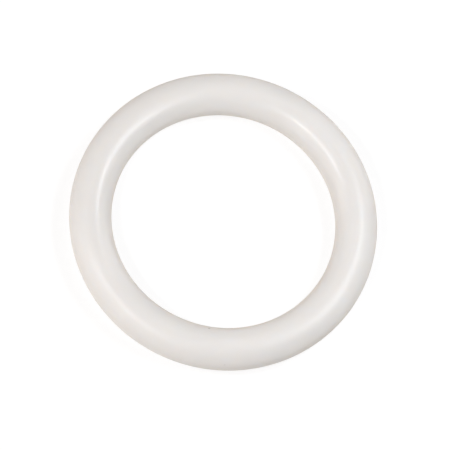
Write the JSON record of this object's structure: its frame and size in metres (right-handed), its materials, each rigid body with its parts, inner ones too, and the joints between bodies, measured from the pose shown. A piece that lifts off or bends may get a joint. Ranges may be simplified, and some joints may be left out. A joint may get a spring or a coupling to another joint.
{
  "type": "gymnastics ring",
  "caption": "Closed round ring of milky white plastic with a thick round hollow grip, moulded as half shells that are welded together at the mid-plane.",
  "frame": {"origin": "centre of the ring, at the height of the surface that it lies on", "axes": "+Z along the ring's axis, from the rear shell to the front shell; X and Y lie in the ring's plane, and the ring is the same all round apart from its ribs"},
  "size_m": [0.235, 0.235, 0.032],
  "materials": {
    "shell_plastic": "milky, slightly see-through white with a semi-gloss moulded surface",
    "weld_plastic": "the same plastic, melted and set smooth, a shade yellower"
  },
  "bodies": {
    "root": {"front_half_shell": "shell_plastic", "rear_half_shell": "shell_plastic", "outer_weld_bead": "weld_plastic", "inner_weld_bead": "weld_plastic"}
  },
  "joints": []
}
